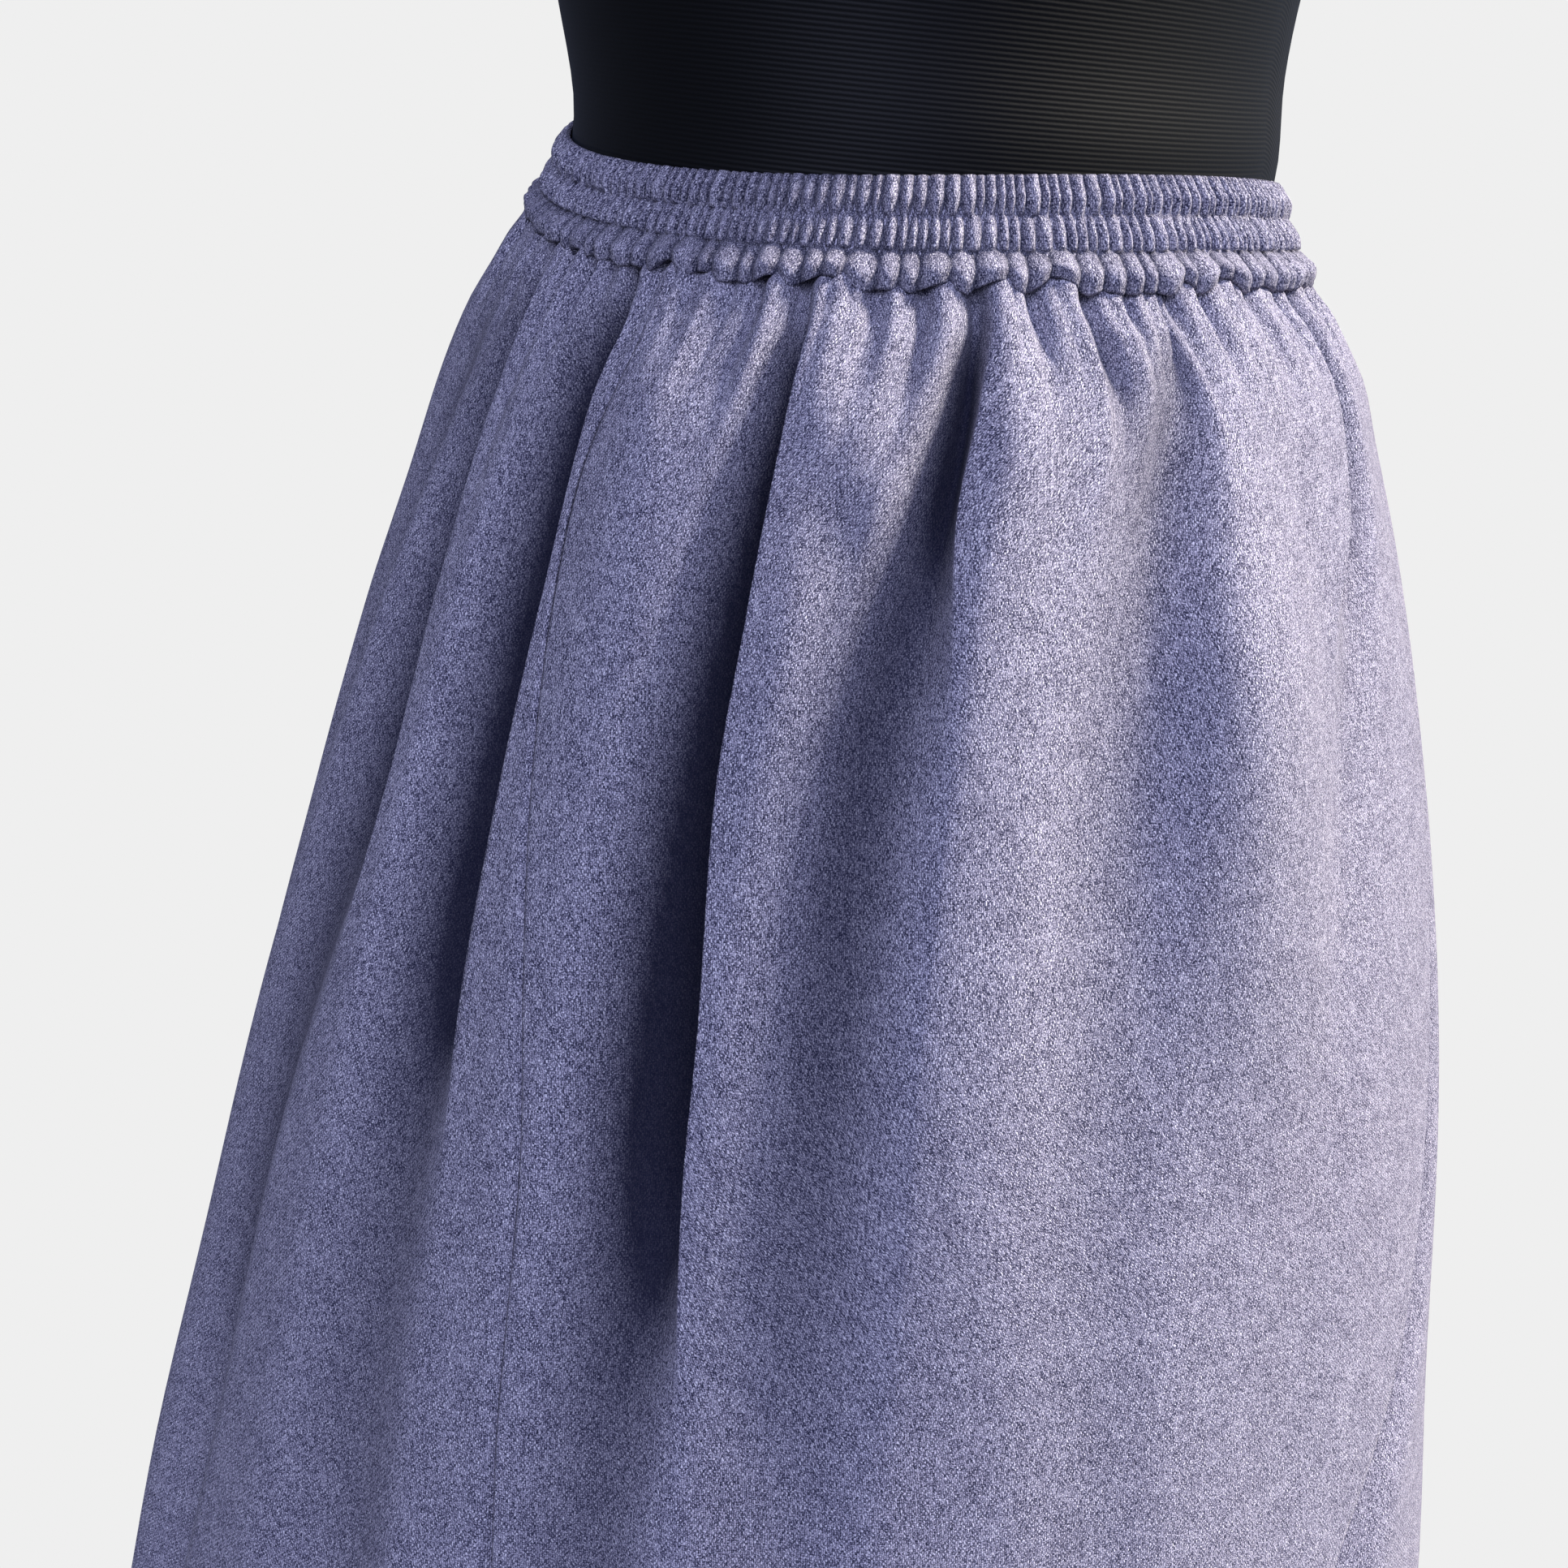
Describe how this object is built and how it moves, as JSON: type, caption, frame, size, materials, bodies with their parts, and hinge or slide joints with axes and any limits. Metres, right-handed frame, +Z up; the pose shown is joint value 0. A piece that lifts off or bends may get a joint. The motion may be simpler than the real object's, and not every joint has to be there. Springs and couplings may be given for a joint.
{
  "type": "midi skirt on dress form",
  "caption": "Gathered wool midi skirt with a shirred elastic waistband, worn by a limbless dress form on a pole and round foot plate.",
  "frame": {"origin": "middle of the foot plate's underside, on the floor", "axes": "+Z up the pole and the form, -Y towards the wearer's front, +X towards the wearer's left"},
  "size_m": [0.6159, 0.5929, 1.5503],
  "materials": {
    "wool_cloth": "heathered blue-grey plain weave wool with a soft nap",
    "ribbed_cover": "black stretch knit with fine level ribs",
    "black_cap": "satin black",
    "black_metal": "satin black powder coat"
  },
  "bodies": {
    "root": {"waistband": "wool_cloth", "skirt_front": "wool_cloth", "skirt_back": "wool_cloth", "form_torso": "ribbed_cover", "form_neck_cap": "black_cap", "stand_pole": "black_metal", "stand_collar": "black_metal", "stand_base": "black_metal"}
  },
  "joints": []
}
